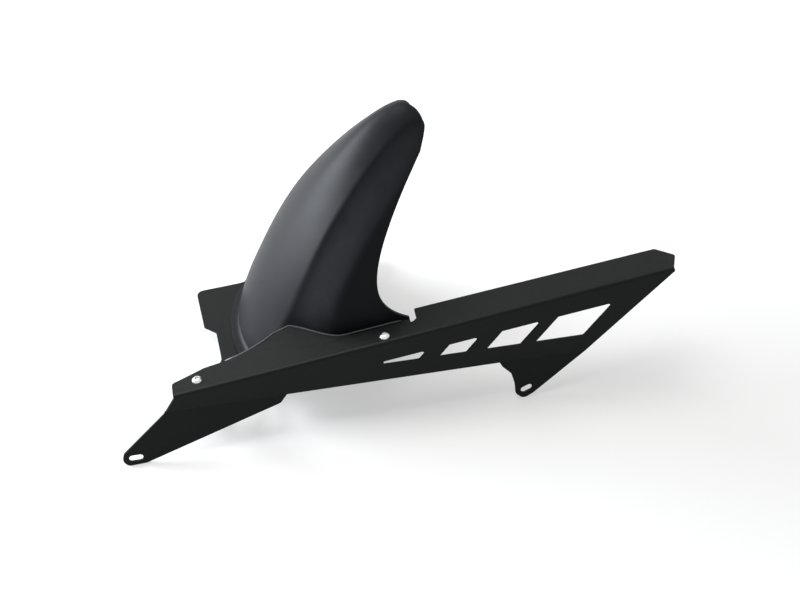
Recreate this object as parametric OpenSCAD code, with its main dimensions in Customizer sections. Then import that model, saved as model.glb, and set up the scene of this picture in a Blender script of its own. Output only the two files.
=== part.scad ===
// Rear hugger mudguard for a motorcycle: a moulded shell over the front of the
// rear tyre, a folded chain guard with slotted tabs, and a bracket that ties the
// two together under the swingarm. X runs rearwards, Y to the far side, Z up.

/* [Chain guard sheet] */
// Thickness of the folded sheet
sheet_t = 2; // [1.5:0.5:3]
// Outside radius of the long fold between flange and web
fold_r = 3; // [2.6:0.2:5]
// Height of the long fold above the floor at the front end of the frame
fold_z = 66; // [50:1:80]
// Upward slope of the long fold, degrees
fold_slope = 7; // [0:0.5:12]
// Front end of the long fold, along the fold
fold_x0 = 49; // [30:0.5:60]
// Rear end of the long fold, along the fold
fold_x1 = 555.5; // [480:0.5:600]
// Height of the tab fold above the floor
tab_fold_z = 54.2; // [40:0.1:60]
// Downward slope of the tab fold, degrees
tab_fold_slope = 1.35; // [0:0.05:3]
// Outward splay of the two tabs, degrees
tab_splay = 12; // [0:1:25]
// Length of the slot in the front tab
front_slot_l = 14; // [10:0.5:20]
// Width of the slot in the front tab
front_slot_w = 6.6; // [5:0.1:9]
// Length of the slot in the rear tab
rear_slot_l = 12.5; // [9:0.5:18]
// Width of the slot in the rear tab
rear_slot_w = 6.6; // [5:0.1:8]
// Tilt of the slot in the rear tab, degrees
rear_slot_tilt = 21; // [0:1:40]

/* [Chain guard windows] */
// Distance from the long fold down to the windows
window_drop = 24.5; // [18:0.5:30]
// Distance from the lower edge up to the windows
window_rise = 20.5; // [12:0.5:24]
// Lean of the window sides, degrees
window_lean = 53; // [40:1:70]
// Corner radius of the windows
window_r = 2.5; // [1:0.5:4]

/* [Screws] */
// Thread diameter of the screws
screw_d = 6; // [5:1:8]
// Clearance round the screws in their holes
screw_clear = 0.3; // [0.1:0.1:0.8]
// Diameter of the button heads
head_d = 10.5; // [9:0.5:14]
// Height of the button heads
head_h = 3.3; // [2.5:0.1:5]
// Size of the hexagon socket across flats
socket_af = 4; // [3:0.5:5]
// Washer diameter
washer_d = 12; // [11:0.5:16]
// Washer thickness
washer_t = 1.2; // [0.8:0.1:2]
// Nut size across flats
nut_af = 10; // [8:1:13]
// Nut height
nut_h = 6; // [4:0.5:8]
// Thread that stands out of the nut
thread_out = 1.5; // [0.5:0.5:4]

/* [Mudguard shell] */
// Wall thickness of the moulding
wall_t = 3; // [2:0.5:4]
// Centre plane of the shell across the vehicle
shell_y = 126; // [110:1:140]
// Half width over the ridges at the foot
ridge_half = 65; // [60:1:80]
// Half width over the ridges at the tip
tip_half = 17.3; // [15:0.1:40]
// Spread of the walls outside the ridges at the foot
flare_foot = 34.9; // [15:0.1:40]
// Spread of the walls outside the ridges at the tip
flare_tip = 11.1; // [0:0.1:18]
// Rise of the crown above the ridges at the foot
camber_foot = 18.7; // [10:0.1:35]
// Rise of the crown above the ridges at the tip
camber_tip = 24.3; // [10:0.1:30]
// Depth of the side walls at the tip
depth_tip = 6; // [4:0.5:20]
// Growth of the depth from the tip down to the flange
depth_rise = 54.9; // [40:0.1:70]
// Extra depth where the walls sweep out over the flange
depth_sweep = 60.1; // [40:0.1:80]
// Share of the ridge over which that sweep fades
depth_fade = 0.13; // [0.08:0.01:0.2]
// Depth over which the walls spread
flare_reach = 27; // [20:1:40]
// Fillet between the wall and its foot at the front
foot_r = 7; // [4:1:10]
// Width of the front lip outside the fillet
lip_w = 4; // [2:0.5:8]
// Fillet between the wall and the skirt under the chain guard
skirt_r = 3; // [2:0.5:5]
// Gap between the skirt and the web of the chain guard
skirt_gap = 2; // [1:0.5:4]
// Width of the far foot outside the fillet
far_foot_w = 17; // [15:0.5:26]
// Front screw of the far foot, along the vehicle
foot_screw_x0 = 203; // [195:1:215]
// Rear screw of the far foot, along the vehicle
foot_screw_x1 = 251; // [235:1:255]
// Distance from the fillet to the screws of the far foot
foot_screw_in = 9; // [8:0.5:14]

/* [Cross bracket] */
// Thickness of the bracket sheet
plate_t = 2; // [1.5:0.5:4]
// Height of the top of the bracket above the floor
plate_z = 20; // [12:1:30]
// Front end of the folded-down far web
far_x0 = 195; // [170:1:200]
// Rear end of the folded-down far web
far_x1 = 288; // [265:1:310]
// Spacing of the two bolt holes in the far web
bolt_pitch = 60; // [40:1:70]
// Diameter of the two bolt holes in the far web
bolt_hole_d = 6.5; // [5:0.1:9]

/* [Hidden] */
$fn = 48;

// Ridge of the shell, seen from the side: a cubic from the foot to the tip
ridge = [[153, plate_z], [130.4, 52.8], [276.7, 296], [328.1, 270.5]];
ridge_columns = 52;
ridge_rows = 38;
tilt_tip = -41.1;

// Far wall of the shell at its foot, and the far web of the bracket outside its foot
wall_foot = shell_y + ridge_half + flare_foot;
far_y = wall_foot + skirt_r + far_foot_w + plate_t;

// Screw places: two on the flange (along the fold, across), two on the far foot of the shell
flange_screws = [[74.8, 14.7], [261, 9.5]];
foot_screws = [for (x = [foot_screw_x0, foot_screw_x1]) [x, wall_foot + skirt_r + foot_screw_in]];

// Where the tabs and the flange end: the origin lies in the middle, on the floor
front_end = -7.01;
rear_end = 558.17;
tab_reach = 11.45;
middle = [(front_end + rear_end) / 2, (far_y - tab_reach) / 2];

shaft_r = screw_d / 2;
hole_r = shaft_r + screw_clear;
edge_soft = 0.4;
sheet_clear = 0.3;
near_edge = sheet_t + skirt_gap;
far_mid = (far_x0 + far_x1) / 2;
bolt_x = far_mid + 6.5;
bolt_z = 8.5;

// Near arm of the bracket: its ends and its face below the flange
riser_x0 = 64;
riser_x1 = 104;
riser_y = 22;

// Rounded outlines: each corner is [x, y, radius]
function unit(v) = v / norm(v);
function corner(a, b, c, r, n = 5) =
    r <= 0 ? [b] :
    let (u = unit(a - b), v = unit(c - b), half = acos(u * v) / 2,
         centre = b + unit(u + v) * r / sin(half),
         from = b + u * r / tan(half) - centre,
         to = b + v * r / tan(half) - centre,
         sweep = sign(cross(from, to)) * (180 - 2 * half))
    [for (i = [0 : n]) let (w = sweep * i / n)
        centre + [from[0] * cos(w) - from[1] * sin(w), from[0] * sin(w) + from[1] * cos(w)]];
function flat(p) = [p[0], p[1]];
function rounded(p) = let (n = len(p))
    [for (i = [0 : n - 1]) each corner(flat(p[(i + n - 1) % n]), flat(p[i]), flat(p[(i + 1) % n]), p[i][2])];

// Long fold and tab fold of the chain guard as lines in the plane of the web
function fold_height(x) = fold_z + x * tan(fold_slope);
function edge_height(x) = tab_fold_z - x * tan(tab_fold_slope);
function on_flange(x, down) =
    [x * cos(fold_slope) + down * sin(fold_slope), fold_z + x * sin(fold_slope) - down * cos(fold_slope)];
function in_flange(p) = let (x = p[0], z = p[1] - fold_z)
    [x * cos(fold_slope) + z * sin(fold_slope), z * cos(fold_slope) - x * sin(fold_slope)];

module flange_frame() translate([0, 0, fold_z]) rotate([0, -fold_slope, 0]) children();
module tab_fold_frame() translate([0, sheet_t / 2, tab_fold_z]) rotate([0, tab_fold_slope, 0]) children();
module tab_frame() tab_fold_frame() rotate([90 - tab_splay, 0, 0]) translate([0, 0, -sheet_t / 2]) children();

// A bend of the sheet: starts across +Y, turns towards -Z, runs back along -X
module bend(length, t, inner, angle = 90) rotate([-90, 0, 0]) rotate([0, -90, 0])
    rotate_extrude(angle = angle) translate([inner, 0]) square([t, length]);

module slot(l, w, t) {
    for (s = [-1, 1]) translate([s * (l - w) / 2, 0, -1]) cylinder(r = w / 2, h = t + 2);
    translate([-(l - w) / 2, -w / 2, -1]) cube([l - w, w, t + 2]);
}

// Chain guard: flange with its shaped inner edge
flange_outline = [[fold_x0, fold_r, 0], [fold_x0 + 1, 18.4, 5], [56.7, 19.9, 6], [83.7, 28.7, 12],
    [105.1, 31, 20], [119.6, 34.4, 20], [145.4, 44, 12], [169.3, 60, 0], [181.4, 60, 0], [262, 36, 0],
    [281.5, 29.5, 6], [291.1, 19.3, 1.5], [296.4, 23, 1.5], [297.4, 37.2, 2], [546.5, 35.5, 3],
    [562.7, 19.5, 3], [fold_x1, fold_r, 0]];

module flange() flange_frame() translate([0, 0, -sheet_t]) linear_extrude(sheet_t) difference() {
    polygon(rounded(flange_outline));
    polygon(concat([for (j = [0 : 24]) let (q = -1 + 0.7 * j / 24,
                    p = section(t_flange, q) + (skirt_r + sheet_clear) * side(t_flange, q))
                [bez(t_flange)[0] / cos(fold_slope) + p[0], shell_y + p[1]]],
            [[bez(t_flange)[0] + depth(t_flange) + 5, shell_y]]));
}

module long_fold() flange_frame() translate([fold_x1, fold_r, -fold_r]) rotate([180, 0, 0])
    bend(fold_x1 - fold_x0, sheet_t, fold_r - sheet_t);

// Chain guard: web with four windows between the long fold and the lower edge
windows = [[256, 36, 96], [312, 28, window_lean], [360, 36, window_lean], [411, 51, window_lean]];
function window_floor(x) = edge_height(x) + window_rise;
function window_head(x, lean) =
    let (z = window_floor(x), rise = fold_height(x) - window_drop - z,
         up = rise / (1 - tan(fold_slope) / tan(lean)))
    [x + up / tan(lean), z + up];
function window_outline(w) = let (a = w[0], b = w[0] + w[1])
    [[a, window_floor(a), window_r / 2], [b, window_floor(b), window_r],
     concat(window_head(b, window_lean), window_r), concat(window_head(a, w[2]), window_r / 2)];

module web() flange_frame() rotate([90, 0, 0]) translate([0, 0, -sheet_t]) linear_extrude(sheet_t) difference() {
    polygon([[fold_x0, -fold_r], for (x = web_edge) in_flange([x, edge_height(x)]), [fold_x1, -fold_r]]);
    for (w = windows) polygon([for (p = rounded(window_outline(w))) in_flange(p)]);
}
web_edge = [39.8, 466];

// Tabs, drawn in their own plane below the tab fold: x along the fold, y up
front_tab = [[38.9, 0, 0], [39.1, -1.2, 3], [-4.6, -41.2, 8], [-6.4, -49, 6], [-1.6, -55.34, 6],
    [17.4, -54.35, 14], [152, -8.9, 6], [158.8, 0, 0]];
front_slot = [6.9, -47.2];
rear_tab = [[375, 0, 0], [378.5, -6, 5], [387.6, -15, 6], [391.4, -28, 8], [392.4, -40, 6],
    [400.5, -46.83, 7], [411, -41.5, 8], [466.5, 0, 0]];
rear_slot = [403.6, -35.2];

module tab(outline, place, l, w, tilt) {
    last = len(outline) - 1;
    tab_fold_frame() translate([outline[0][0] + sheet_t, 0, 0]) rotate([0, 90, 0])
        cylinder(r = 0.48 * sheet_t, h = outline[last][0] - outline[0][0] - 2 * sheet_t);
    tab_frame() difference() {
        linear_extrude(sheet_t) polygon(rounded(outline));
        translate([place[0], place[1], 0]) rotate([0, 0, tilt]) slot(l, w, sheet_t);
    }
}

module chain_guard() color([0.13, 0.13, 0.14]) difference() {
    union() {
        flange();
        long_fold();
        web();
        tab(front_tab, front_slot, front_slot_l, front_slot_w, 0);
        tab(rear_tab, rear_slot, rear_slot_l, rear_slot_w, rear_slot_tilt);
    }
    for (s = flange_screws) flange_frame() translate([s[0], s[1], -sheet_t - 1])
        cylinder(r = hole_r, h = sheet_t + 2);
}

// Shell: the ridge path and what the section does along it.
// t runs from the foot (0) to the tip (1), s from the flange level to the tip.
function bez(t) = pow(1 - t, 3) * ridge[0] + 3 * pow(1 - t, 2) * t * ridge[1]
    + 3 * (1 - t) * t * t * ridge[2] + pow(t, 3) * ridge[3];
function level(t) = let (p = bez(t)) p[1] - fold_height(p[0]);
function find_level(a, b, n = 30) = let (m = (a + b) / 2)
    n == 0 ? m : level(m) < 0 ? find_level(m, b, n - 1) : find_level(a, m, n - 1);
t_flange = find_level(0, 0.6);
function smooth(x) = let (k = min(1, max(0, x))) k * k * (3 - 2 * k);
function past(t) = max(0, (t - t_flange) / (1 - t_flange));
function below(t) = max(0, (t_flange - t) / t_flange);
tilt_b = (tilt_tip - fold_slope / t_flange) / (1 - t_flange);
tilt_a = tilt_tip - tilt_b;
function slice_tilt(t) = tilt_a * t + tilt_b * t * t;
function ridge_width(t) = tip_half + (ridge_half - tip_half) * (1 - smooth(pow(past(t), 1.06))) + 5 * below(t);
function camber(t) = camber_foot + (camber_tip - camber_foot) * past(t);
function flare(t) = flare_foot + (flare_tip - flare_foot) * past(t) - 5 * below(t);
function depth(t) = let (s = past(t)) depth_tip + depth_rise * (1 - s) + depth_sweep * exp(-s / depth_fade);

// Section of one slice: k 0 on the crown, 0.5 on the ridge, 1 at the rear edge
function raw(t, k) = k <= 0.5
    ? [-camber(t) * (1 - 4 * k * k), ridge_width(t) * 2 * k]
    : let (a = depth(t) * pow(2 * k - 1, 1.19))
      [a, ridge_width(t) + flare(t) * pow(sin(90 * min(1, a / flare_reach)), 1.04)];
function mirrored(t, q) = let (p = raw(t, abs(q))) [p[0], q < 0 ? -p[1] : p[1]];
function ridge_soft(t) = 0.06 + 0.18 * past(t) * past(t);
function section(t, q) = let (r = min(ridge_soft(t), 1 - abs(q)))
    (mirrored(t, q - r) + 2 * mirrored(t, q - r / 2) + 2 * mirrored(t, q)
     + 2 * mirrored(t, q + r / 2) + mirrored(t, q + r)) / 8;

// A point of the outer skin, moved outwards in its slice by off
function side(t, q) = let (e = 0.004, d = section(t, min(1, q + e)) - section(t, max(-1, q - e))) unit([-d[1], d[0]]);
function skin(t, q, off) = let (p = section(t, q) + off * side(t, q), w = slice_tilt(t), c = bez(t))
    [c[0] + p[0] * cos(w), shell_y + p[1], c[1] + p[0] * sin(w)];

// Foot of each column: the near wall starts at the flange, the rest on the bracket
function near(q) = 1 - smooth((q + 0.60) / 0.05);
function outer(q) = smooth((abs(q) - 0.5) / 0.12);
function foot_t(q) = t_flange * near(q);
function top_t(q) = 1 - 0.065 * q * q - 0.1 * pow(q, 4);
function fillet(q) = foot_r + (skirt_r - foot_r) * outer(q);
function foot_edge(q) = let (y = shell_y + section(foot_t(q), q)[1])
    q < 0 ? y - skirt_r - near_edge : far_y - plate_t - y - skirt_r;
function lip(q) = lip_w + (foot_edge(q) - lip_w) * outer(q);

// A point of the foot, raised by h above the seat and moved outwards by off
function foot_point(q, h, off) =
    let (t = foot_t(q), p = section(t, q) + off * side(t, q), w = slice_tilt(t), c = bez(t),
         up = h - near(q) * (sheet_t + wall_t))
    [c[0] + p[0] * cos(w) - up * sin(w), shell_y + p[1], c[1] + p[0] * sin(w) + up * cos(w)];

// Rows from the lip over the fillet and up the wall; in is 0 outside, 1 inside
foot_rows = 5;
function row_point(i, q, in) =
    i == 0 ? foot_point(q, (1 - in) * wall_t, fillet(q) + lip(q))
    : i <= foot_rows
    ? let (r = fillet(q), w = 90 * (i - 1) / (foot_rows - 1), k = r + in * wall_t)
      foot_point(q, wall_t + r - k * cos(w), r - k * sin(w))
    : let (start = foot_t(q) + 0.055 - 0.035 * near(q), v = (i - foot_rows - 1) / (ridge_rows - 1))
      skin(start + (top_t(q) - start) * v, q, -in * wall_t);

last_row = foot_rows + ridge_rows;
row_size = ridge_columns + 1;
function column_q(j) = -1 + 2 * j / ridge_columns;
shell_points = [for (in = [0, 1]) for (i = [0 : last_row]) for (j = [0 : ridge_columns])
    row_point(i, column_q(j), in)];
function at(in, i, j) = (in * (last_row + 1) + i) * row_size + j;
function quad(a, b, c, d) = [[a, b, c], [a, c, d]];
shell_faces = [
    for (i = [0 : last_row - 1]) for (j = [0 : ridge_columns - 1])
        each quad(at(0, i, j), at(0, i, j + 1), at(0, i + 1, j + 1), at(0, i + 1, j)),
    for (i = [0 : last_row - 1]) for (j = [0 : ridge_columns - 1])
        each quad(at(1, i, j), at(1, i + 1, j), at(1, i + 1, j + 1), at(1, i, j + 1)),
    for (j = [0 : ridge_columns - 1]) each concat(
        quad(at(0, 0, j + 1), at(0, 0, j), at(1, 0, j), at(1, 0, j + 1)),
        quad(at(0, last_row, j), at(0, last_row, j + 1), at(1, last_row, j + 1), at(1, last_row, j))),
    for (i = [0 : last_row - 1]) each concat(
        quad(at(0, i, 0), at(0, i + 1, 0), at(1, i + 1, 0), at(1, i, 0)),
        quad(at(0, i + 1, ridge_columns), at(0, i, ridge_columns), at(1, i, ridge_columns),
             at(1, i + 1, ridge_columns)))];

module mudguard_shell() color([0.12, 0.12, 0.13]) difference() {
    polyhedron(points = shell_points, faces = shell_faces, convexity = 8);
    place_flange_screw(1) translate([0, 0, -sheet_t - wall_t - 1]) cylinder(r = hole_r, h = wall_t + 2);
    for (s = foot_screws) translate([s[0], s[1], plate_z - 1]) cylinder(r = hole_r, h = wall_t + 2);
}

// Cross bracket: plate under the foot, near arm up to the front screw, far web
plate_outline = [[97, 151, 3], [97, wall_foot - 17, 8], [151, wall_foot - 13, 30], [far_x0, far_y - fold_r, 0],
    [far_x1, far_y - fold_r, 0], [far_x1, wall_foot + 1, 4], [205, wall_foot, 30], [160, wall_foot - 14, 30],
    [144, 172, 30], [139, shell_y, 60], [144, 80, 20], [riser_x1 + 6, 40, 15], [riser_x1, riser_y + fold_r, 0], [riser_x0, riser_y + fold_r, 0],
    [riser_x0, 62, 20], [107, 94, 12], [108, 140, 3]];

module near_arm() {
    top = sheet_t + fold_r;
    shoulder = 3;
    translate([riser_x1, riser_y + fold_r, plate_z - plate_t + fold_r]) rotate([-90, 0, 0])
        bend(riser_x1 - riser_x0, plate_t, fold_r - plate_t);
    translate([0, riser_y + plate_t, 0]) rotate([90, 0, 0]) linear_extrude(plate_t)
        polygon([[riser_x0, plate_z - plate_t + fold_r], [riser_x1, plate_z - plate_t + fold_r],
            on_flange(riser_x1, top + shoulder) - [shoulder, 0], on_flange(riser_x0, top + shoulder) + [shoulder, 0]]);
    flange_frame() {
        translate([riser_x0, riser_y, -top]) mirror([0, 0, 1])
            cube([riser_x1 - riser_x0, plate_t, 3 * shoulder]);
        translate([riser_x1, riser_y + plate_t - fold_r, -top]) rotate([90, 0, 0])
            bend(riser_x1 - riser_x0, plate_t, fold_r - plate_t);
        translate([0, 0, -sheet_t - plate_t]) linear_extrude(plate_t)
            polygon(rounded([[riser_x0, near_edge, 4], [riser_x1 - 12, near_edge, 6],
                [riser_x1, riser_y + plate_t - fold_r, 0], [riser_x0, riser_y + plate_t - fold_r, 0]]));
    }
}

module far_web() {
    translate([far_x1, far_y - fold_r, plate_z - fold_r]) rotate([90, 0, 0])
        bend(far_x1 - far_x0, plate_t, fold_r - plate_t);
    translate([0, far_y, 0]) rotate([90, 0, 0]) linear_extrude(plate_t)
        polygon(rounded([[far_x0, plate_z - fold_r, 0], [far_x1, plate_z - fold_r, 0], [far_x1, 0, 5],
            [far_x0, 0, 5]]));
}

module cross_bracket() color([0.13, 0.13, 0.14]) difference() {
    union() {
        translate([0, 0, plate_z - plate_t]) linear_extrude(plate_t) polygon(rounded(plate_outline));
        near_arm();
        far_web();
    }
    place_flange_screw(0) translate([0, 0, -sheet_t - plate_t - 1]) cylinder(r = hole_r, h = plate_t + 2);
    for (s = foot_screws) translate([s[0], s[1], plate_z - plate_t - 1]) cylinder(r = hole_r, h = plate_t + 2);
    for (k = [-1, 1]) translate([bolt_x + k * bolt_pitch / 2, far_y + 1, bolt_z]) rotate([90, 0, 0])
        cylinder(r = bolt_hole_d / 2, h = plate_t + 2);
}

// Fasteners, each drawn with the seat of its head at the origin
module place_flange_screw(i) flange_frame()
    translate([flange_screws[i][0], flange_screws[i][1], 0]) children();
module place_foot_screw(i) translate([foot_screws[i][0], foot_screws[i][1], plate_z + wall_t]) children();
grips = [sheet_t + plate_t, sheet_t + wall_t, wall_t + plate_t];

module screw(grip) {
    crown_r = (pow(head_d / 2, 2) + head_h * head_h) / (2 * head_h);
    difference() {
        union() {
            intersection() {
                translate([0, 0, head_h - crown_r]) sphere(r = crown_r);
                cylinder(r = head_d / 2 - edge_soft / 4, h = head_h);
            }
            translate([0, 0, -grip - washer_t - nut_h - thread_out])
                cylinder(r = shaft_r, h = grip + washer_t + nut_h + thread_out + 0.5);
        }
        translate([0, 0, head_h * 0.35]) cylinder(r = socket_af / 2 / cos(30), h = head_h, $fn = 6);
    }
}
module washer(grip) translate([0, 0, -grip - washer_t]) difference() {
    cylinder(r = washer_d / 2, h = washer_t);
    translate([0, 0, -1]) cylinder(r = hole_r, h = washer_t + 2);
}
module nut(grip) translate([0, 0, -grip - washer_t - nut_h]) difference() {
    rotate([0, 0, 30]) cylinder(r = nut_af / 2 / cos(30), h = nut_h, $fn = 6);
    translate([0, 0, -1]) cylinder(r = shaft_r, h = nut_h + 2);
}

module button_screws() color([0.75, 0.75, 0.76]) {
    for (i = [0, 1]) place_flange_screw(i) screw(grips[i]);
    for (i = [0, 1]) place_foot_screw(i) screw(grips[2]);
}
module washers() color([0.7, 0.7, 0.72]) {
    for (i = [0, 1]) place_flange_screw(i) washer(grips[i]);
    for (i = [0, 1]) place_foot_screw(i) washer(grips[2]);
}
module lock_nuts() color([0.66, 0.66, 0.68]) {
    for (i = [0, 1]) place_flange_screw(i) nut(grips[i]);
    for (i = [0, 1]) place_foot_screw(i) nut(grips[2]);
}

module in_frame() translate([-middle[0], -middle[1], 0]) children();

in_frame() mudguard_shell();
in_frame() chain_guard();
in_frame() cross_bracket();
in_frame() button_screws();
in_frame() washers();
in_frame() lock_nuts();
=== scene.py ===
import math
import bmesh
import bpy
import numpy as np
from mathutils import Matrix, Vector


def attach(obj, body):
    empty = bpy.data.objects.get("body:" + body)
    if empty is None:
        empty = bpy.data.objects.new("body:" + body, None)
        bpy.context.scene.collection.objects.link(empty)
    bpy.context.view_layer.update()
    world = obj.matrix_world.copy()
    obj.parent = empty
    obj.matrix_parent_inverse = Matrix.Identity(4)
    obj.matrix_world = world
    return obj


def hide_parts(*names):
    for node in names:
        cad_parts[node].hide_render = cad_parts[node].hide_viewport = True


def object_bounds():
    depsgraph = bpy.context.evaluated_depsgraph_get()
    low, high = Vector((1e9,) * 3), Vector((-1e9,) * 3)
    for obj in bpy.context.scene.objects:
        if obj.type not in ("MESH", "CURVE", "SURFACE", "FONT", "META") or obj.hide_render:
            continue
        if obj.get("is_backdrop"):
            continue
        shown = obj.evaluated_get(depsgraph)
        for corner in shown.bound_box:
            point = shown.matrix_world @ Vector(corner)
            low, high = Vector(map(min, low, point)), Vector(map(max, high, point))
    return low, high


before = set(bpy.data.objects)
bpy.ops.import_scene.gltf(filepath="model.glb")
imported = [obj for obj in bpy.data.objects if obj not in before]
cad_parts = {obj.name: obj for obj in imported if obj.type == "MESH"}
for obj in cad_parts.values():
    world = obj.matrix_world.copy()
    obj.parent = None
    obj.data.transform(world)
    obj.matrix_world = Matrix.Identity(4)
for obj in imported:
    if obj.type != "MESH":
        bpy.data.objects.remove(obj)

low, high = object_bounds()
scene = bpy.context.scene

# Camera: fitted to the photograph, 41 degrees above the floor and a little to the left
# of square, with a long lens. Places are in the coordinates of the part's source, and
# middle takes them to the frame's origin.
middle = Vector((0.27558, 0.118225, 0.0))
camera_place = Vector((-0.0038, -1.1496, 1.1799))
camera_swing, camera_tip = math.radians(13.5), math.radians(41.07)
film_width, focal_pixels, picture_width = 36, 1650, 800
camera_data = bpy.data.cameras.new("studio_camera")
camera = bpy.data.objects.new("studio_camera", camera_data)
scene.collection.objects.link(camera)
back = Vector((-math.sin(camera_swing) * math.cos(camera_tip),
               -math.cos(camera_swing) * math.cos(camera_tip), math.sin(camera_tip)))
right = Vector((math.cos(camera_swing), -math.sin(camera_swing), 0))
camera_turn = Matrix((right, back.cross(right), back)).transposed().to_4x4()
camera.matrix_world = Matrix.Translation(camera_place - middle) @ camera_turn
camera_data.sensor_width = film_width
camera_data.lens = film_width * focal_pixels / picture_width
camera_data.clip_end = 50
scene.camera = camera

# World: white for what the camera sees and what gloss reflects, and a dim even grey
# for the rest of the light, so the black coats keep their contrast.
world = bpy.data.worlds.new("studio")
scene.world = world
world.use_nodes = True
sky = world.node_tree
sky.nodes.clear()
sky_out = sky.nodes.new("ShaderNodeOutputWorld")
sky_mix = sky.nodes.new("ShaderNodeMixShader")
sky_path = sky.nodes.new("ShaderNodeLightPath")
sky_seen = sky.nodes.new("ShaderNodeMath")
sky_seen.operation = "MAXIMUM"
sky_dim = sky.nodes.new("ShaderNodeBackground")
sky_dim.inputs["Color"].default_value = (0.9, 0.95, 1.0, 1)
sky_dim.inputs["Strength"].default_value = 0.05
sky_white = sky.nodes.new("ShaderNodeBackground")
sky_white.inputs["Color"].default_value = (1, 1, 1, 1)
sky_white.inputs["Strength"].default_value = 1.0
sky.links.new(sky_path.outputs["Is Camera Ray"], sky_seen.inputs[0])
sky.links.new(sky_path.outputs["Is Glossy Ray"], sky_seen.inputs[1])
sky.links.new(sky_seen.outputs[0], sky_mix.inputs[0])
sky.links.new(sky_dim.outputs[0], sky_mix.inputs[1])
sky.links.new(sky_white.outputs[0], sky_mix.inputs[2])
sky.links.new(sky_mix.outputs[0], sky_out.inputs[0])

# Lights: a softbox above, a little to the left and behind, that gives the soft
# shadows, a large one low at the back left for the sheen of the crown, and a weak
# strip behind that draws the edges.
for name, place, aim, wide, tall, power, colour in (
        ("top_softbox", (-0.05, 0.35, 1.85), (0.28, 0.12, 0.05), 1.3, 1.1, 28, (1.0, 0.99, 0.97)),
        ("left_softbox", (-1.45, 1.05, 0.65), (0.2, 0.15, 0.15), 1.3, 1.1, 105, (0.92, 0.96, 1.0)),
        ("back_strip", (0.6, 1.6, 0.7), (0.3, 0.1, 0.1), 1.6, 0.4, 3, (1.0, 1.0, 1.0))):
    lamp = bpy.data.lights.new(name, "AREA")
    lamp.shape = "RECTANGLE"
    lamp.size, lamp.size_y, lamp.energy, lamp.color = wide, tall, power, colour
    lamp_object = bpy.data.objects.new(name, lamp)
    scene.collection.objects.link(lamp_object)
    lamp_object.location = Vector(place) - middle
    lamp_object.rotation_euler = (Vector(place) - Vector(aim)).to_track_quat("Z", "Y").to_euler()

# Floor: one wide pale sheet of studio paper. The camera and the gloss see it lifted
# to near white, and to full white away from the part, so only soft shadows show on it.
paper_half, paper_near, paper_far = 6, 0.35, 1.5
floor_mesh = bpy.data.meshes.new("floor")
corners = [(-1, -1), (1, -1), (1, 1), (-1, 1)]
floor_mesh.from_pydata([(x * paper_half, y * paper_half, 0) for x, y in corners], [], [(0, 1, 2, 3)])
floor = bpy.data.objects.new("floor", floor_mesh)
scene.collection.objects.link(floor)
paper = bpy.data.materials.new("studio_paper")
paper.use_nodes = True
paper_tree = paper.node_tree
paper_tree.nodes.clear()
paper_out = paper_tree.nodes.new("ShaderNodeOutputMaterial")
paper_mix = paper_tree.nodes.new("ShaderNodeMixShader")
paper_path = paper_tree.nodes.new("ShaderNodeLightPath")
paper_either = paper_tree.nodes.new("ShaderNodeMath")
paper_either.operation = "MAXIMUM"
paper_grey = paper_tree.nodes.new("ShaderNodeBsdfDiffuse")
paper_grey.inputs["Color"].default_value = (0.45, 0.45, 0.45, 1)
paper_seen = paper_tree.nodes.new("ShaderNodeBsdfDiffuse")
paper_seen.inputs["Color"].default_value = (0.52, 0.52, 0.52, 1)
paper_lift = paper_tree.nodes.new("ShaderNodeEmission")
paper_lift.inputs["Color"].default_value = (1, 1, 1, 1)
paper_sum = paper_tree.nodes.new("ShaderNodeAddShader")
paper_place = paper_tree.nodes.new("ShaderNodeNewGeometry")
paper_away = paper_tree.nodes.new("ShaderNodeVectorMath")
paper_away.operation = "LENGTH"
paper_fade = paper_tree.nodes.new("ShaderNodeMapRange")
paper_fade.interpolation_type = "SMOOTHSTEP"
for label, number in (("From Min", paper_near), ("From Max", paper_far),
                      ("To Min", 0.5), ("To Max", 1.0)):
    paper_fade.inputs[label].default_value = number
paper_tree.links.new(paper_place.outputs["Position"], paper_away.inputs[0])
paper_tree.links.new(paper_away.outputs["Value"], paper_fade.inputs["Value"])
paper_tree.links.new(paper_fade.outputs["Result"], paper_lift.inputs["Strength"])
paper_tree.links.new(paper_seen.outputs[0], paper_sum.inputs[0])
paper_tree.links.new(paper_lift.outputs[0], paper_sum.inputs[1])
paper_tree.links.new(paper_path.outputs["Is Camera Ray"], paper_either.inputs[0])
paper_tree.links.new(paper_path.outputs["Is Glossy Ray"], paper_either.inputs[1])
paper_tree.links.new(paper_either.outputs[0], paper_mix.inputs[0])
paper_tree.links.new(paper_grey.outputs[0], paper_mix.inputs[1])
paper_tree.links.new(paper_sum.outputs[0], paper_mix.inputs[2])
paper_tree.links.new(paper_mix.outputs[0], paper_out.inputs[0])
floor_mesh.materials.append(paper)
floor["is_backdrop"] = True

# Mudguard shell: one ABS moulding 3 mm thick, satin black with a fine mould grain. It
# stands on the bracket with a narrow lip, and its skirt goes under the flange of the
# chain guard. Sizes are in mm and follow the part's source.
wall_t, sheet_t, plate_z, shell_y = 3.0, 2.0, 20.0, 126.0
fold_slope, fold_z = 7.0, 66.0
fold_angle = math.radians(fold_slope)

# Path of the ridge from the foot to the tip. The slices across it are level at the
# foot, lie in the plane of the flange at its height, and lean down rearwards at the tip.
ridge = np.array([[153, plate_z], [130.4, 52.8], [276.7, 296], [328.1, 270.5]])
tilt_tip = -41.1

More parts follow.
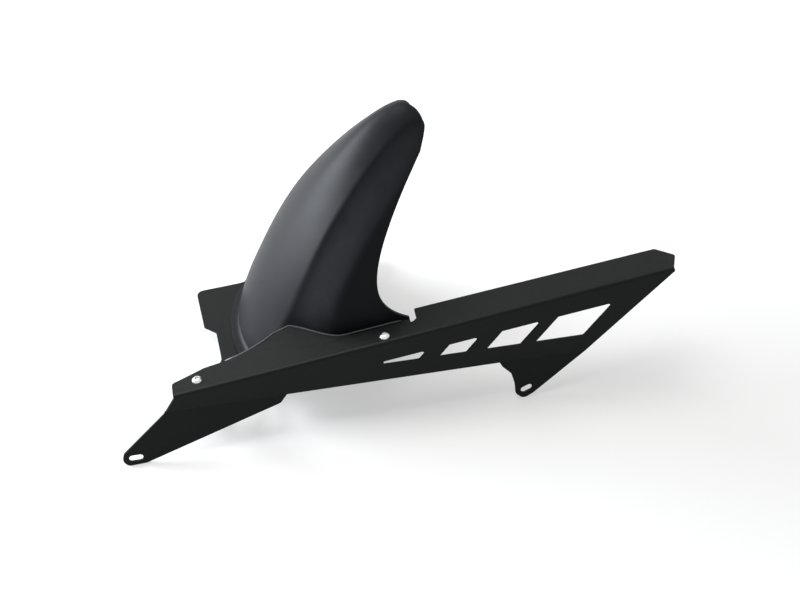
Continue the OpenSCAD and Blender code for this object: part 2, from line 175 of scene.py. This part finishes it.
# Half widths, camber of the crown, flare and depth of the walls, and how far the
# crease above the flange stands nearer the crown than the ridge of the part's source.
ridge_half, tip_half, width_power, side_lean = 65.0, 17.3, 1.06, 5.0
camber_foot, camber_tip = 18.7, 24.3
flare_foot, flare_tip, flare_power = 34.9, 11.1, 1.04
flare_reach, flare_reach_flange, flare_fade = 27.0, 23.0, 0.1
depth_tip, depth_rise, depth_sweep, depth_fade, depth_power = 6.0, 54.9, 60.1, 0.13, 1.19
crease_lift, crease_lift_tip, lift_full, tip_part = 7.0, 3.0, 0.4, 0.3
crease_soft, crease_soft_tip = 0.03, 0.12


def ridge_point(t):
    t = np.asarray(t, float)[..., None]
    return ((1 - t) ** 3 * ridge[0] + 3 * (1 - t) ** 2 * t * ridge[1]
            + 3 * (1 - t) * t * t * ridge[2] + t ** 3 * ridge[3])


span = np.linspace(0, 0.6, 6001)
level = ridge_point(span)
t_flange = float(span[np.argmax(level[:, 1] > fold_z + math.tan(fold_angle) * level[:, 0])])
tilt_b = (tilt_tip - fold_slope / t_flange) / (1 - t_flange)
tilt_a = tilt_tip - tilt_b


def smooth(x):
    x = np.clip(x, 0, 1)
    return x * x * (3 - 2 * x)


# Half of the section across the shell: t runs from the foot to the tip, s from the
# flange to the tip, and k from the middle of the crown over the ridge at 0.5 to the
# lower edge of the wall at 1.
def shell_half(t, k):
    s = np.maximum(0, (t - t_flange) / (1 - t_flange))
    under = np.maximum(0, (t_flange - t) / t_flange)
    width = tip_half + (ridge_half - tip_half) * (1 - smooth(s ** width_power)) + side_lean * under
    camber = camber_foot + (camber_tip - camber_foot) * s
    spread = flare_foot - (flare_foot - flare_tip) * s - side_lean * under
    deep = np.maximum(0.5, depth_tip + depth_rise * (1 - s) + depth_sweep * np.exp(-s / depth_fade))
    lift = (crease_lift * smooth(s / lift_full)
            + crease_lift_tip * smooth((s - 1 + tip_part) / tip_part))
    down = (deep + lift) * np.maximum(0, 2 * k - 1) ** depth_power
    full = spread * np.sin(np.radians(90 * np.minimum(1, deep / flare_reach))) ** flare_power
    reach = flare_reach + flare_reach_flange * np.exp(-s / flare_fade)
    along = np.minimum(1, down / (lift + np.minimum(deep, reach)))
    crown = k <= 0.5
    return (np.where(crown, -(camber - lift) * (1 - 4 * k * k), down) - lift,
            np.where(crown, 2 * k * width, width + full * (along + smooth(along)) / 2))


# The whole section: q runs from -1 at the near edge to 1 at the far one. The ridges are
# softened a little, and more at the tip.
def shell_section(t, q):
    total_a = total_b = 0
    past = np.maximum(0, (t - t_flange) / (1 - t_flange))
    soft = np.minimum(crease_soft + crease_soft_tip * past ** 7, 1 - np.abs(q))
    for shift, weight in ((-1, 1), (-0.5, 2), (0, 2), (0.5, 2), (1, 1)):
        p = np.clip(q + shift * soft, -1, 1)
        a, b = shell_half(t, np.abs(p))
        total_a, total_b = total_a + weight * a / 8, total_b + weight * np.sign(p) * b / 8
    return total_a, total_b


def shell_outward(t, q, step=0.004):
    a0, b0 = shell_section(t, np.maximum(-1, q - step))
    a1, b1 = shell_section(t, np.minimum(1, q + step))
    length = np.hypot(a1 - a0, b1 - b0)
    return -(b1 - b0) / length, (a1 - a0) / length


# Columns of points, closer together at the seam where the near side's foot changes from
# the bracket to the flange. near is 1 on the near wall, and outer is 1 on both walls.
columns, seam_columns, wall_rows, foot_rows = 180, 46, 150, 10
seam_q, seam_w, seam_spare, outer_w = -0.6, 0.05, 0.002, 0.12
seam = np.linspace(seam_q - seam_spare, seam_q + seam_w + seam_spare, seam_columns)
q = np.unique(np.round(np.concatenate((np.linspace(-1, 1, columns + 1), seam)), 6))
near = 1 - smooth((q - seam_q) / seam_w)
outer = smooth((np.abs(q) - 0.5) / outer_w)

# Rim of the tongue: how far up the ridge each column goes. The near half follows the
# photograph's outline, and the far half is cut back to stay out of sight behind it.
near_rim = np.polyfit((0, 0.1, 0.25, 0.4, 0.55, 0.7, 0.8, 0.9, 0.95, 1),
                      (0.996, 1.002, 1.013, 1.007, 0.991, 0.973, 0.955, 0.915, 0.88, 0.83), 6)
far_cut = 0.05 * smooth((q - 0.04) / 0.3) * (1 - smooth((q - 0.5) / 0.4))
far_rim = 0.996 - 0.065 * q * q - 0.1 * q ** 4 - far_cut
top_t = np.where(q < 0, np.polyval(near_rim, np.abs(q)), far_rim)

# Foot: a fillet and a lip, which widens to take the screws on both sides, and stays on
# the bracket's plate where the edge of that runs at a slant, at the far front.
foot_r, side_r, skirt_r = 7.0, 2.0, 3.0
lip_w, least_lip, lip_spare = 4.0, 1.5, 1.5
near_edge, far_foot_w = 4.0, 17.0
far_edge = shell_y + ridge_half + flare_foot + skirt_r + far_foot_w
slant_x, slant_y, slant, slant_end = 151, 212.4, 0.727, 197
foot_t = t_flange * near
foot_a, foot_b = shell_section(foot_t, q)
out_a, out_b = shell_outward(foot_t, q)
foot_x = ridge[0, 0] + foot_a
foot_y = shell_y + foot_b
edge = np.where(q < 0, foot_y - near_edge, far_edge - foot_y) - skirt_r
room = (slant_y + slant * (foot_x - slant_x) - foot_y) / np.maximum(0.2, out_b - slant * out_a)
room = np.where((q > 0.3) & (foot_x < slant_end), room, 99)
fillet = foot_r - (foot_r - side_r) * outer
fillet = np.minimum(fillet, np.maximum(side_r, room - lip_spare))
lip = np.minimum(lip_w + (edge - lip_w) * outer, np.maximum(least_lip, room - fillet))

# Rows of points from the lip over the fillet and up the wall to the rim, on the outer
# skin and then on the inner one.
wall_start, near_wall_start = 0.08, 0.006
start = foot_t + wall_start - (wall_start - near_wall_start) * near
skins = []
for side in (0, 1):
    rows = []
    for i in range(foot_rows + 2 + wall_rows):
        if i <= foot_rows:
            if i == 0:
                rise, off = (1 - side) * wall_t + 0 * q, fillet + lip
            else:
                angle = math.radians(90 * (i - 1) / (foot_rows - 1))
                bow = fillet + side * wall_t
                rise, off = wall_t + fillet - bow * math.cos(angle), fillet - bow * math.sin(angle)
            t, up = foot_t, rise - near * (sheet_t + wall_t)
            a, b = foot_a + off * out_a, foot_b + off * out_b
        else:
            t, up = start + (top_t - start) * (i - foot_rows - 1) / wall_rows, 0
            a, b = shell_section(t, q)
            n_a, n_b = shell_outward(t, q)
            a, b = a - side * wall_t * n_a, b - side * wall_t * n_b
        tilt = np.radians(tilt_a * t + tilt_b * t * t)
        path = ridge_point(t)
        rows.append(np.stack([path[..., 0] + a * np.cos(tilt) - up * np.sin(tilt), shell_y + b,
                              path[..., 1] + a * np.sin(tilt) + up * np.cos(tilt)], -1))
    skins.append(np.array(rows))
points = np.array(skins) / 1000 - np.array(middle)
count_rows, count_cols = points.shape[1], points.shape[2]
index = np.arange(points.shape[0] * count_rows * count_cols).reshape(points.shape[:3])
faces = []
for i in range(count_rows - 1):
    for j in range(count_cols - 1):
        outside, inside = index[0, i:i + 2, j:j + 2], index[1, i:i + 2, j:j + 2]
        faces.append((outside[1, 0], outside[1, 1], outside[0, 1], outside[0, 0]))
        faces.append((inside[0, 1], inside[1, 1], inside[1, 0], inside[0, 0]))
rims = ([(index[:, 0, j], index[:, 0, j + 1]) for j in range(count_cols - 1)]
        + [(index[:, -1, j + 1], index[:, -1, j]) for j in range(count_cols - 1)]
        + [(index[:, i + 1, 0], index[:, i, 0]) for i in range(count_rows - 1)]
        + [(index[:, i, -1], index[:, i + 1, -1]) for i in range(count_rows - 1)])
for first, second in rims:
    faces.append((second[1], first[1], first[0], second[0]))
shell_mesh = bpy.data.meshes.new("mudguard_shell_skin")
shell_mesh.from_pydata([tuple(p) for p in points.reshape(-1, 3)], [],
                       [tuple(int(v) for v in face) for face in faces])
shell_mesh.update()
shell = bpy.data.objects.new("mudguard_shell_skin", shell_mesh)
scene.collection.objects.link(shell)
for face in shell_mesh.polygons:
    face.use_smooth = True
rounding = shell.modifiers.new("edge_rounding", "BEVEL")
rounding.width, rounding.segments, rounding.limit_method = 0.0008, 3, "ANGLE"
rounding.angle_limit = math.radians(50)

# Grain of a coat: fine bumps at two sizes, with a matching spread of gloss and tone.
grain = bpy.data.node_groups.new("coat_grain", "ShaderNodeTree")
for label, kind in (("Vector", "NodeSocketVector"), ("Fine Scale", "NodeSocketFloat"),
                    ("Coarse Scale", "NodeSocketFloat"), ("Bump", "NodeSocketFloat"),
                    ("Roughness", "NodeSocketFloat"), ("Spread", "NodeSocketFloat")):
    grain.interface.new_socket(label, in_out="INPUT", socket_type=kind)
for label, kind in (("Normal", "NodeSocketVector"), ("Roughness", "NodeSocketFloat"),
                    ("Tint", "NodeSocketFloat")):
    grain.interface.new_socket(label, in_out="OUTPUT", socket_type=kind)
g_in = grain.nodes.new("NodeGroupInput")
g_out = grain.nodes.new("NodeGroupOutput")
g_fine = grain.nodes.new("ShaderNodeTexNoise")
g_fine.inputs["Detail"].default_value = 3
g_coarse = grain.nodes.new("ShaderNodeTexNoise")
g_coarse.inputs["Detail"].default_value = 2
g_fine_bump = grain.nodes.new("ShaderNodeBump")
g_fine_bump.inputs["Distance"].default_value = 0.00012
g_coarse_bump = grain.nodes.new("ShaderNodeBump")
g_coarse_bump.inputs["Distance"].default_value = 0.0002
g_coarse_bump.inputs["Strength"].default_value = 0.12
g_spread = grain.nodes.new("ShaderNodeMath")
g_spread.operation = "SUBTRACT"
g_spread.inputs[1].default_value = 0.5
g_rough = grain.nodes.new("ShaderNodeMath")
g_rough.operation = "MULTIPLY_ADD"
for start, end in ((g_in.outputs["Vector"], g_fine.inputs["Vector"]),
                   (g_in.outputs["Fine Scale"], g_fine.inputs["Scale"]),
                   (g_in.outputs["Vector"], g_coarse.inputs["Vector"]),
                   (g_in.outputs["Coarse Scale"], g_coarse.inputs["Scale"]),
                   (g_fine.outputs["Fac"], g_fine_bump.inputs["Height"]),
                   (g_in.outputs["Bump"], g_fine_bump.inputs["Strength"]),
                   (g_coarse.outputs["Fac"], g_coarse_bump.inputs["Height"]),
                   (g_fine_bump.outputs["Normal"], g_coarse_bump.inputs["Normal"]),
                   (g_coarse_bump.outputs["Normal"], g_out.inputs["Normal"]),
                   (g_coarse.outputs["Fac"], g_spread.inputs[0]),
                   (g_spread.outputs[0], g_rough.inputs[0]),
                   (g_in.outputs["Spread"], g_rough.inputs[1]),
                   (g_in.outputs["Roughness"], g_rough.inputs[2]),
                   (g_rough.outputs[0], g_out.inputs["Roughness"]),
                   (g_coarse.outputs["Fac"], g_out.inputs["Tint"])):
    grain.links.new(start, end)


# A grained finish: the sizes of its grain per metre, its gloss, and the two tones that
# it lies between.
def grained_coat(name, fine, coarse, bump, roughness, spread, dark, light, specular=0.5,
                 metallic=0.0):
    finish = bpy.data.materials.new(name)
    finish.use_nodes = True
    tree = finish.node_tree
    shader = tree.nodes["Principled BSDF"]
    shader.inputs["Specular IOR Level"].default_value = specular
    shader.inputs["Metallic"].default_value = metallic
    place = tree.nodes.new("ShaderNodeNewGeometry")
    texture = tree.nodes.new("ShaderNodeGroup")
    texture.node_tree = grain
    for label, number in (("Fine Scale", fine), ("Coarse Scale", coarse), ("Bump", bump),
                          ("Roughness", roughness), ("Spread", spread)):
        texture.inputs[label].default_value = number
    tone = tree.nodes.new("ShaderNodeMix")
    tone.data_type = "RGBA"
    tone.inputs["A"].default_value = (*dark, 1)
    tone.inputs["B"].default_value = (*light, 1)
    tree.links.new(place.outputs["Position"], texture.inputs["Vector"])
    tree.links.new(texture.outputs["Tint"], tone.inputs["Factor"])
    tree.links.new(tone.outputs["Result"], shader.inputs["Base Color"])
    tree.links.new(texture.outputs["Roughness"], shader.inputs["Roughness"])
    tree.links.new(texture.outputs["Normal"], shader.inputs["Normal"])
    return finish


shell_mesh.materials.append(grained_coat(
    "black_abs", fine=900, coarse=60, bump=0.35, roughness=0.42, spread=0.10,
    dark=(0.0125, 0.0132, 0.0155), light=(0.0190, 0.0199, 0.0232), specular=0.06))
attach(shell, "root")
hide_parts("mudguard_shell")

# Chain guard and cross bracket: laser cut and folded aluminium sheet, 2 mm, in satin
# black powder coat with a slight orange peel. The coat rounds the cut edges a little.
sheet_coat = grained_coat(
    "black_powder_coat", fine=1400, coarse=220, bump=0.5, roughness=0.46, spread=0.16,
    dark=(0.0045, 0.0055, 0.0055), light=(0.0085, 0.0096, 0.0096), specular=0.12)


def coat_and_round(node, finish, rounding_width):
    node.data.materials.clear()
    node.data.materials.append(finish)
    weld = node.modifiers.new("weld", "WELD")
    weld.merge_threshold = 0.00001
    soft = node.modifiers.new("edge_rounding", "BEVEL")
    soft.width, soft.segments, soft.limit_method = rounding_width, 2, "ANGLE"
    soft.angle_limit = math.radians(40)


for name in ("chain_guard", "cross_bracket"):
    coat_and_round(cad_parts[name], sheet_coat, 0.0003)

# Lobe of the chain guard's flange: a tongue of the same sheet and coat, in one piece with
# the flange, that fills the corner up to the flare of the shell. It stands 0.05 mm proud,
# so that no two faces share one plane.
lobe_top, lobe_lap, lobe_front, lobe_rear = 0.05, 0.4, 166, 230
base_x = float(ridge_point(t_flange)[0]) / math.cos(fold_angle)


def on_flange(along, across, high):
    place = Vector((along * math.cos(fold_angle) - high * math.sin(fold_angle), across,
                    fold_z + along * math.sin(fold_angle) + high * math.cos(fold_angle)))
    return place / 1000 - middle


base_a, base_b = shell_section(t_flange, np.linspace(-0.53, -0.97, 60))
base_line = [(base_x + a, shell_y + b) for a, b in zip(base_a, base_b)]
lobe_line = ([(152, 48.2)]
             + [(x - lobe_lap, y + lobe_lap) for x, y in base_line if lobe_front < x < lobe_rear]
             + [(230, 20), (195, 18), (180, 23), (160, 45), (152, 45)])
lobe_mesh = bpy.data.meshes.new("flange_lobe")
build = bmesh.new()
under_ring, upper_ring = [[build.verts.new(on_flange(x, y, high)) for x, y in lobe_line]
                          for high in (lobe_top - sheet_t, lobe_top)]
build.faces.new(under_ring[::-1])
build.faces.new(upper_ring)
for i in range(len(lobe_line)):
    k = (i + 1) % len(lobe_line)
    build.faces.new((under_ring[i], under_ring[k], upper_ring[k], upper_ring[i]))
bmesh.ops.recalc_face_normals(build, faces=build.faces)
bmesh.ops.triangulate(build, faces=[face for face in build.faces if len(face.verts) > 4])
build.to_mesh(lobe_mesh)
build.free()
lobe = bpy.data.objects.new("flange_lobe", lobe_mesh)
scene.collection.objects.link(lobe)
lobe_mesh.materials.append(sheet_coat)
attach(lobe, "root")

# Bead of the shell: the rounded edge that the ABS moulding has where it comes up beside
# the flange, moulded with it. Its coat is a painted highlight, lighter than the rest of
# the shell, for the light that this rounded edge catches. It thins out at both ends.
bead_radius, bead_steps, bead_sink, bead_gap = 1.1, 8, 0.3, 0.9
bead_front, bead_rear = 167, 284
bead_line = ([(105.1, 31.3), (119.6, 34.9), (133, 39.6), (145.4, 45), (156, 51.9)]
             + [(x, y - bead_gap) for x, y in base_line if bead_front < x < bead_rear])
bead_mesh = bpy.data.meshes.new("shell_bead")
build = bmesh.new()
bead_rings = []
for i, (x, y) in enumerate(bead_line):
    first, last = bead_line[max(0, i - 1)], bead_line[min(len(bead_line) - 1, i + 1)]
    run = Vector((last[0] - first[0], last[1] - first[1])).normalized()
    taper = min(1, 0.25 + 0.25 * min(i, len(bead_line) - 1 - i))
    ring = []
    for k in range(bead_steps + 1):
        angle = math.pi * k / bead_steps
        aside, high = bead_radius * math.cos(angle), bead_radius * taper * math.sin(angle)
        ring.append(build.verts.new(on_flange(x - run.y * aside, y + run.x * aside, high - bead_sink)))
    bead_rings.append(ring)
for first, last in zip(bead_rings, bead_rings[1:]):
    for k in range(bead_steps + 1):
        m = (k + 1) % (bead_steps + 1)
        build.faces.new((first[k], first[m], last[m], last[k]))
build.faces.new(bead_rings[0])
build.faces.new(bead_rings[-1][::-1])
bmesh.ops.recalc_face_normals(build, faces=build.faces)
for face in build.faces:
    face.smooth = True
build.to_mesh(bead_mesh)
build.free()
bead = bpy.data.objects.new("shell_bead", bead_mesh)
scene.collection.objects.link(bead)
# The bead's coat: lighter tones that paint a highlight along the rounded edge.
bead_mesh.materials.append(grained_coat(
    "abs_bead_painted_highlight", fine=900, coarse=90, bump=0.2, roughness=0.36, spread=0.10,
    dark=(0.026, 0.0269, 0.030), light=(0.048, 0.0495, 0.054), specular=0.3))
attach(bead, "root")

# Screws, washers and nuts: plain stainless steel, turned and left bare, with a fine
# grain. The button heads have a hexagon socket, and each screw goes through the sheets
# and a washer into a lock nut.
steel = grained_coat(
    "stainless_steel", fine=2500, coarse=500, bump=0.15, roughness=0.28, spread=0.15,
    dark=(0.60, 0.60, 0.61), light=(0.78, 0.78, 0.78), metallic=1.0)
for name in ("button_screws", "washers", "lock_nuts"):
    coat_and_round(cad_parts[name], steel, 0.00015)

scene.view_settings.view_transform = "Standard"

low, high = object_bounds()
